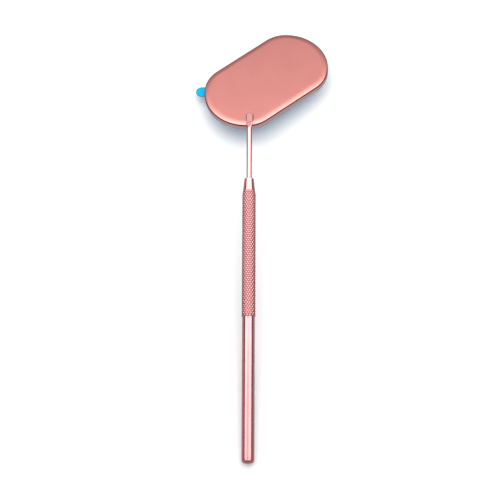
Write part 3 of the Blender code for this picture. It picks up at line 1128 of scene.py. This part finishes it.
@dataclass
class Stem:
    """Round wire with a flattened spade at its end, welded to the dish and bent where it leaves it.

    The stem's own frame has Y along the spade towards the dish's centre, and Z out of the dish's back.
    """

    frames: Frames
    finishes: Finishes
    head: MirrorHead
    radius: float = 1.36 * MM
    thread_radius: float = 1.25 * MM
    bend_angle: float = radians(17.4)
    bend_place: float = -28.6 * MM
    bend_radius: float = 5.0 * MM
    spade_tip: float = -23.4 * MM
    spade_length: float = 4.0 * MM
    flat_length: float = 4.6 * MM
    flare_length: float = 5.0 * MM
    spade_half_width: float = 1.68 * MM
    spade_corner: float = 0.8 * MM
    spade_thickness: float = 1.65 * MM
    spade_edge: float = 0.22 * MM
    weld_gap: float = 0.15 * MM
    weld_and_shade_margin: float = 0.20 * MM
    dimple_behind_tip: float = 2.0 * MM
    dimple_radius: float = 0.62 * MM
    dimple_depth: float = 0.012 * MM
    seat_reach: float = 30.45 * MM
    seat_edge: float = 0.11 * MM
    seat_wear: float = 0.3
    reach: float = 31.5 * MM
    end_edge: float = 0.15 * MM
    sides: int = 96
    round_power: float = 2.0
    flat_power: float = 7.0
    corner_steps: int = 8
    flat_steps: int = 40
    bend_steps: int = 14
    shank_steps: int = 60
    shank_start: float = 1.0 * MM
    edge_steps: int = 4
    dimple_spread: float = 1.4
    dimple_peak: float = 1.2
    dimple_wear: float = 0.1
    dimple_wear_fall: float = 3.0
    pad_power: float = 5.0
    pad_sides: int = 64
    pad_roof_steps: int = 5
    pad_side_steps: int = 4
    pad_waist: float = 0.05
    pad_floor: tuple[float, ...] = (0.8, 0.5, 0.2)

    def build(self) -> None:
        """Builds the wire and the weld under its spade."""
        self.wire()
        self.weld()

    def section(self, centre: Vector, lean: float, girth: Triple) -> list[Vector]:
        """Points round the wire.

        Args:
            centre: The section's centre.
            lean: How far the section leans back from upright, about X.
            girth: Half its width, half its height, and its squareness: 0 for an ellipse, 1 for a flat
                with rounded edges.

        Returns:
            The points.
        """
        half_width, half_height, squareness = girth
        right, up = Vector((half_width, 0.0, 0.0)), Vector((0.0, sin(lean), cos(lean))) * half_height
        power = self.round_power + (self.flat_power - self.round_power) * squareness
        turns = [2 * pi * (side + 0.5) / self.sides for side in range(self.sides)]
        return [centre + right * x + up * z for x, z in squared(turns, power)]

    def wire(self) -> None:
        """The wire with its spade, from the spade's tip to the threaded end."""
        form = Form("stem_wire")
        low = self.weld_gap + self.spade_thickness / 2
        half_height = self.spade_thickness / 2
        edge = self.spade_edge
        for turn in arc(self.corner_steps):
            place = Vector((0, self.spade_tip - edge * (1 - cos(turn)), low))
            loss = edge * (1 - sin(turn))
            half = self.spade_half_width - self.spade_corner - loss
            form.ring(self.section(place, 0.0, (half, half_height - loss, 1.0)), self.dimple_wear)
        for turn in arc(self.corner_steps)[1:]:
            y = self.spade_tip - edge - (self.spade_corner - edge) * (1 - cos(turn))
            half = self.spade_half_width - self.spade_corner * (1 - sin(turn))
            form.ring(self.section(Vector((0, y, low)), 0.0, (half, half_height, 1.0)))
        half_bend = self.bend_radius * tan(self.bend_angle / 2)
        flat_end = self.spade_tip - self.spade_corner
        for y in spread(flat_end, self.bend_place + half_bend, self.flat_steps)[1:-1]:
            form.ring(self.section(Vector((0, y, self._height(y))), 0.0, self._girth(y)))
        for lean in arc(self.bend_steps, 0.0, self.bend_angle):
            y = self.bend_place + half_bend - self.bend_radius * sin(lean)
            z = self._height(y) - self.bend_radius * (1 - cos(lean))
            form.ring(self.section(Vector((0, y, z)), -lean, self._girth(y)))
        along = Vector((0, -cos(self.bend_angle), -sin(self.bend_angle)))
        bend = Vector((0, self.bend_place, self.weld_gap + self.radius))
        for distance in spread(self.shank_start, self.seat_reach - self.seat_edge, self.shank_steps):
            place = bend + along * distance
            sunk = Vector((0.0, 0.0, bend.z - self._height(place.y)))
            form.ring(self.section(place - sunk, -self.bend_angle, self._girth(place.y)))
        neck = self.thread_radius
        ends = self._edge(self.seat_reach, self.radius, self.seat_edge, self.seat_wear)
        ends += [(self.seat_reach + self.end_edge / 2, neck, 0.0), (self.reach - self.end_edge, neck, 0.0)]
        ends += self._edge(self.reach, neck, self.end_edge, 0.0)
        for distance, size, wear in ends:
            form.ring(self.section(bend + along * distance, -self.bend_angle, (size, size, 0.0)), wear)
        form.end()
        self._press_dimple(form, low + half_height)
        piece = form.mesh(self.frames.stem)
        dress(piece, self.finishes.stem, Body.HEAD, Slot.POLISHED, "stem")

    def _edge(self, end: float, radius: float, edge: float, wear: float) -> list[Triple]:
        """Distances, radii and wear of a rounded edge at an end of the wire."""
        turns = arc(self.edge_steps)[1:]
        return [(end - edge * (1 - sin(turn)), radius - edge * (1 - cos(turn)), wear) for turn in turns]

    def _flare(self, place: float) -> float:
        """How far the wire has grown from the pressed spade, at 0, to its full round, at 1."""
        share = min(max((self.spade_tip - self.flat_length - place) / self.flare_length, 0.0), 1.0)
        return share * share * (3 - 2 * share)

    def _height(self, place: float) -> float:
        """Height of the wire's centre over the dish before the bend's own drop."""
        low, high = self.weld_gap + self.spade_thickness / 2, self.weld_gap + self.radius
        return low + (high - low) * self._flare(place)

    def _girth(self, place: float) -> Triple:
        """Half the width, half the height and the squareness of the wire at a place along Y."""
        ease = self._flare(place)
        half_height = self.spade_thickness / 2
        half_width = self.spade_half_width + (self.radius - self.spade_half_width) * ease
        return half_width, half_height + (self.radius - half_height) * ease, (1 - ease) ** 2

    def _press_dimple(self, form: Form, top: float) -> None:
        """Sinks the round mark of the welding tip into the spade's upper face."""
        middle = Vector((0.0, self.spade_tip - self.dimple_behind_tip))
        for vert in form.shape.verts:
            if vert.co.z < top - self.spade_thickness / 2:
                continue
            away = (vert.co.xy - middle).length / self.dimple_radius
            if away < self.dimple_spread:
                bowl = (1.0 - (away / self.dimple_spread) ** 2) ** 2
                vert.co.z -= self.dimple_depth * self.dimple_peak * bowl
                ring = max(0.0, 1.0 - abs(away - 1.0) * self.dimple_wear_fall)
                vert[form.wear] = self.dimple_wear * ring

    def weld(self) -> None:
        """The fused pad between the spade and the dish, which follows the dish's shoulder below it."""
        form = Form("weld_pad")
        gap = self.head.layer_gap
        roof = self.weld_gap - gap
        to_dish = self.frames.dish.inverted() @ self.frames.stem
        rim = self.head.outline()
        middle = self.spade_tip - self.dimple_behind_tip
        # The pad reaches past the spade's edge, where its dark weld colour doubles as a painted shade
        # outline round the spade.
        half_width = self.spade_half_width + self.weld_and_shade_margin
        half_length = self.spade_length / 2 + self.weld_and_shade_margin
        pad = squared(arc(self.pad_sides, 0.0, 2 * pi)[:-1], self.pad_power)
        foot = 1.0 + self.pad_waist
        levels = [(sin(turn), 0.0) for turn in arc(self.pad_roof_steps)[1:]]
        sides = spread(0.0, 1.0, self.pad_side_steps)[1:]
        levels += [(1.0 + self.pad_waist * level**2, level) for level in sides]
        levels += [(foot * share, 1.0) for share in self.pad_floor]
        for scale, level in levels:
            row = [Vector((half_width * scale * u, middle + half_length * scale * v, 0.0)) for u, v in pad]
            for point in row:
                flat = to_dish @ point
                inset = min((flat.xy - edge.xy).length for edge in rim)
                point.z = roof + (self.head.back_height(inset) + gap - roof) * level
            form.ring(row)
        form.end()
        piece = form.mesh(self.frames.stem)
        dress(piece, self.finishes.weld, Body.HEAD, Slot.WELD, "weld_nugget")


@dataclass
class Turned:
    """A round piece about the handle's axis, from stations behind the nose's face and radii."""

    frames: Frames
    sides: int = 96

    def make(
        self,
        name: str,
        profile: Sequence[Point],
        bored: bool,
        wear: Callable[[float, float], float] = lambda station, radius: 0.0,
        place: bool = True,
    ) -> bpy.types.Object:
        """Turns a profile.

        Args:
            name: The piece's name.
            profile: Stations and radii. A bored piece's profile runs out along the outside, back along
                the bore and closes on itself. A solid piece's runs from one end face to the other.
            bored: Whether the piece has a bore.
            wear: Gives the wear at a station and radius.
            place: Whether the piece is moved to its place, or left in its own frame for more work.

        Returns:
            The piece.
        """
        form = Form(name)
        turns = [2 * pi * side / self.sides for side in range(self.sides)]
        for station, radius in profile:
            row = [Vector((radius * cos(turn), -station, radius * sin(turn))) for turn in turns]
            form.ring(row, wear(station, radius))
        if bored:
            form.skin(looped=True)
        else:
            form.end()
        return form.mesh(self.frames.nose if place else Matrix.Identity(4))


@dataclass
class Handle:
    """The nose that takes the stem's thread, the tube with its knurled grip, and the plug in its tail."""

    frames: Frames
    finishes: Finishes
    nose_back: float = 6.8 * MM
    knurl_full: float = 8.4 * MM
    knurl_end: float = 71.0 * MM
    tube_end: float = 141.6 * MM
    tail_end: float = 143.0 * MM
    bore: float = 1.33 * MM
    bore_mouth: float = 0.12 * MM
    nose_tip_radius: float = 2.42 * MM
    nose_back_radius: float = 3.05 * MM
    nose_edge: float = 0.5 * MM
    spigot: float = 6.0 * MM
    knurl_radius: float = 3.38 * MM
    knurl_runout: float = 0.4 * MM
    tube_radius: float = 3.08 * MM
    tube_bore: float = 2.3 * MM
    tube_edge: float = 0.07 * MM
    plug_face: float = 2.1 * MM
    fit_gap: float = 0.03 * MM
    seam_gap: float = 0.05 * MM
    knurl_starts: int = 14
    knurl_step: float = 2.05 * MM
    knurl_depth: float = 0.38 * MM
    knurl_land: float = 0.76
    knurl_start: float = 0.25 * MM
    knurl_fade: float = 0.3 * MM
    facets: int = 10
    seam_edge: float = 0.08 * MM
    spigot_edge: float = 0.2 * MM
    bend_reach: float = 0.1 * MM
    mouth_share: float = 1.2
    mouth_wear: float = 0.6
    cone_wear: float = 0.05
    plug_wear: float = 0.1
    tip_steps: int = 10
    cone_steps: int = 6
    tail_steps: int = 30
    plug_steps: int = 14

    def build(self) -> None:
        """Builds the whole handle."""
        self.nose()
        self.tube()
        self.plug()

    def nose(self) -> None:
        """The tapered nose, with a rounded mouth and a spigot pressed into the tube."""
        seam = self.nose_back - self.seam_gap
        spigot = self.tube_bore - self.fit_gap
        face = self.bore + self.bore_mouth
        tip = [
            (self.nose_edge * (1 - cos(turn)), self.nose_tip_radius - self.nose_edge * (1 - sin(turn)))
            for turn in arc(self.tip_steps)
        ]
        slope = spread(self.nose_edge, seam - self.bend_reach, self.cone_steps)[1:-1]
        rise = (self.nose_back_radius - self.nose_tip_radius) / (seam - self.nose_edge)
        cone = [(station, self.nose_tip_radius + rise * (station - self.nose_edge)) for station in slope]
        heel = rounded(cone[-1], (seam, self.nose_back_radius), (seam, spigot), self.seam_edge)
        end = self.nose_back + self.spigot
        edge = self.spigot_edge
        profile = [(0.0, face), *tip, *cone, *heel, (seam, spigot), (end - edge, spigot)]
        profile += [(end, spigot - edge), (end, self.bore), (self.bore_mouth, self.bore)]
        piece = Turned(self.frames).make("threaded_nose", profile, True, self._nose_wear)
        dress(piece, self.finishes.nose, Body.HANDLE, Slot.POLISHED, "nose_cone")

    def _nose_wear(self, station: float, radius: float) -> float:
        """Wear on the nose: its rounded mouth has been rubbed."""
        rubbed = station < self.nose_edge and radius > self.bore * self.mouth_share
        return self.mouth_wear if rubbed else self.cone_wear

    def tube(self) -> None:
        """The tube: a grip with crossed grooves that starts on its tapered front, then the smooth tail."""
        step = self.knurl_step / self.facets
        front = self.nose_back
        edge = self.seam_edge
        taper = (self.knurl_radius - self.nose_back_radius) / (self.knurl_full - front)
        start = self.nose_back_radius
        profile: list[Point] = [(front, start - edge), (front + edge, start)]
        station = front + edge + step
        while station < self.knurl_end:
            profile.append((station, min(self.knurl_radius, start + taper * (station - front))))
            station += step
        runout = self.knurl_end + self.knurl_runout
        crest, foot = (self.knurl_end, self.knurl_radius), (runout, self.tube_radius)
        tail, mouth = (self.tube_end, self.tube_radius), (self.tube_end, self.tube_bore)
        profile += rounded((self.knurl_end - step, self.knurl_radius), crest, foot, self.bend_reach)
        profile += rounded(crest, foot, (runout + step, self.tube_radius), self.bend_reach)
        smooth = spread(runout, self.tube_end, self.tail_steps)[1:-1]
        profile += [(place, self.tube_radius) for place in smooth]
        profile += [*rounded(foot, tail, mouth, self.tube_edge), mouth, (front, self.tube_bore)]
        turned = Turned(self.frames, self.knurl_starts * self.facets)
        piece = turned.make("knurled_tube", profile, True, place=False)
        grip = HelicalCut(
            starts=self.knurl_starts,
            lead_step=self.knurl_step,
            depth=self.knurl_depth,
            first=front + self.knurl_start,
            last=self.knurl_end,
            crossed=True,
            land=self.knurl_land,
            fade=self.knurl_fade,
            floor_radius=self.tube_bore + self.fit_gap,
        )
        grip.apply(piece, self.finishes.grip)
        piece.data.transform(self.frames.nose)
        dress(piece, self.finishes.grip, Body.HANDLE, Slot.KNURLED, "handle_tube")

    def plug(self) -> None:
        """The plug pressed into the tail, with a rounded rim round a flat face."""
        spigot = self.tube_bore - self.fit_gap
        front = self.tube_end + self.seam_gap
        rim = self.tube_radius - self.tube_edge
        start = self.tube_end - self.spigot
        edge = self.spigot_edge
        profile = [(start, spigot - edge), (start + edge, spigot), (front, spigot)]
        for turn in arc(self.plug_steps):
            station = front + (self.tail_end - front) * sin(turn)
            profile.append((station, self.plug_face + (rim - self.plug_face) * cos(turn)))
        profile.append((self.tail_end, self.plug_face / 2))
        turned = Turned(self.frames)
        piece = turned.make("tail_plug", profile, False, lambda station, radius: self.plug_wear)
        dress(piece, self.finishes.nose, Body.HANDLE, Slot.POLISHED, "end_plug")


@dataclass
class StemThread:
    """The screwed end of the stem: a core that travels, and the thread that turns with the head."""

    frames: Frames
    finishes: Finishes
    start: float = 1.05 * MM
    length: float = 8.0 * MM
    radius: float = 1.25 * MM
    pitch: float = 0.45 * MM
    depth: float = 0.27 * MM
    core_radius: float = 0.86 * MM
    core_gap: float = 0.02 * MM
    chamfer_share: float = 0.6
    land: float = 0.88
    fade: float = 0.5 * MM
    core_sides: int = 48
    thread_sides: int = 64
    facets: int = 10

    def build(self) -> None:
        """Builds the core and the thread round it."""
        end = self.start + self.length
        chamfer = self.pitch * self.chamfer_share
        radius = self.core_radius
        core = [(self.start, radius), (end - chamfer, radius), (end, radius - chamfer)]
        piece = Turned(self.frames, self.core_sides).make("stud_core", core, False)
        dress(piece, self.finishes.thread, Body.STUD, Slot.THREAD, "threaded_stud")

        inner = self.core_radius + self.core_gap
        step = self.pitch / self.facets
        rows = int((self.length - self.pitch) / step)
        profile = [(self.start + step * row, self.radius) for row in range(rows + 1)]
        last = end - chamfer / 2
        profile += [(last, self.radius - chamfer / 2), (last, inner), (self.start, inner)]
        ridge = Turned(self.frames, self.thread_sides).make("stem_thread", profile, True, place=False)
        cut = HelicalCut(
            starts=1,
            lead_step=self.pitch,
            depth=self.depth,
            first=self.start,
            last=end,
            crossed=False,
            land=self.land,
            fade=self.fade,
            floor_radius=inner + self.core_gap,
        )
        cut.apply(ridge, self.finishes.thread)
        ridge.data.transform(self.frames.nose)
        dress(ridge, self.finishes.thread, Body.HEAD, Slot.THREAD)


@dataclass(frozen=True)
class SoftBox:
    """A rectangular soft light overhead, facing down."""

    name: str
    across: tuple[float, float]
    along: tuple[float, float]
    brightness: float
    height: float = 1.0

    def build(self) -> None:
        """Hangs the light."""
        size = (self.across[1] - self.across[0], self.along[1] - self.along[0])
        middle = Vector((sum(self.across) / 2, sum(self.along) / 2, self.height))
        hang_panel(self.name, size, Matrix.Translation(middle), self.brightness)


def hang_panel(name: str, size: tuple[float, float], place: Matrix, brightness: float) -> None:
    """Adds an even rectangular light that shines along its own -Z.

    Args:
        name: The light's name.
        size: Its sides, along its own X and Y.
        place: Its matrix.
        brightness: How bright it looks, where a white sheet in full light is 1.
    """
    light = bpy.data.lights.new(name, "AREA")
    light.shape = "RECTANGLE"
    light.size, light.size_y = size
    light.energy = brightness * pi * size[0] * size[1]
    lamp = bpy.data.objects.new(name, light)
    lamp.matrix_world = place
    bpy.context.scene.collection.objects.link(lamp)


@dataclass
class Studio:
    """Floor, light and camera."""

    table_size: float = 6.0
    surround: Colour = (0.17, 0.175, 0.19, 1.0)
    surround_strength: float = 1.0
    aim: Triple = (-0.00568, -0.00603, 0.003)
    distance: float = 0.85
    elevation: float = radians(69.25)
    roll: float = radians(0.234)
    lens: float = 122.48
    sensor: float = 36.0
    near_clip: float = 0.05
    far_clip: float = 20.0
    boxes: tuple[SoftBox, ...] = (
        SoftBox("left_soft_box", (-1.65, -0.42), (0.08, 0.90), 2.40),
        SoftBox("right_soft_box", (0.08, 1.40), (0.08, 0.90), 2.40),
        SoftBox("middle_soft_box", (-0.42, 0.08), (0.08, 0.90), 2.40),
        SoftBox("near_left_soft_box", (-1.65, -0.42), (-0.68, 0.08), 1.60),
        SoftBox("near_right_soft_box", (0.08, 1.40), (-0.68, 0.08), 1.60),
        SoftBox("near_middle_soft_box", (-0.42, 0.08), (-0.68, 0.08), 0.80),
    )
    card_place: float = 1.18
    card_width: float = 3.4
    cards: tuple[Triple, ...] = ((0.34, 0.82, 0.14), (0.82, 1.16, 0.84))

    def build(self) -> None:
        """Sets the whole studio up."""
        self.table()
        self.light()
        self.camera()

    def table(self) -> None:
        """The plain pale table top, which the object lies on."""
        half = self.table_size / 2
        shape = bmesh.new()
        bmesh.ops.create_grid(shape, x_segments=1, y_segments=1, size=half)
        mesh = bpy.data.meshes.new("table_top_floor")
        shape.to_mesh(mesh)
        shape.free()
        mesh.materials.append(TableTop("pale_table").material())
        floor = bpy.data.objects.new("table_top_floor", mesh)
        bpy.context.scene.collection.objects.link(floor)

    def light(self) -> None:
        """The soft boxes and the dim surround, shown without any film-like curve."""
        for box in self.boxes:
            box.build()
        upright = Matrix.Rotation(-pi / 2, 4, "X")
        for low, high, brightness in self.cards:
            card = Matrix.Translation((0.0, self.card_place, (low + high) / 2)) @ upright
            hang_panel("back_card", (self.card_width, high - low), card, brightness)
        world = bpy.data.worlds.new("dim_surround")
        world.use_nodes = True
        background = world.node_tree.nodes["Background"]
        background.inputs["Color"].default_value = self.surround
        background.inputs["Strength"].default_value = self.surround_strength
        bpy.context.scene.world = world
        bpy.context.scene.view_settings.view_transform = "Standard"

    def camera(self) -> None:
        """The camera, above the tail end and looking down at the head."""
        back = Vector((0.0, -cos(self.elevation), sin(self.elevation)))
        eye = bpy.data.cameras.new("camera")
        eye.lens, eye.sensor_width = self.lens, self.sensor
        eye.clip_start, eye.clip_end = self.near_clip, self.far_clip
        camera = bpy.data.objects.new("camera", eye)
        turn = (-back).to_track_quat("-Z", "Y").to_matrix().to_4x4()
        roll = Matrix.Rotation(self.roll, 4, "Z")
        camera.matrix_world = Matrix.Translation(Vector(self.aim) + back * self.distance) @ turn @ roll
        bpy.context.scene.collection.objects.link(camera)
        bpy.context.scene.camera = camera


def main() -> None:
    """Builds the mirror, then the studio round it."""
    logging.basicConfig(level=logging.INFO, format="%(name)s %(message)s", force=True)
    frames = Frames()
    finishes = Finishes(frames.axis)
    head = MirrorHead(frames, finishes)
    head.build()
    Stem(frames, finishes, head).build()
    Handle(frames, finishes).build()
    StemThread(frames, finishes).build()
    Studio().build()


if __name__ == "__main__":
    main()
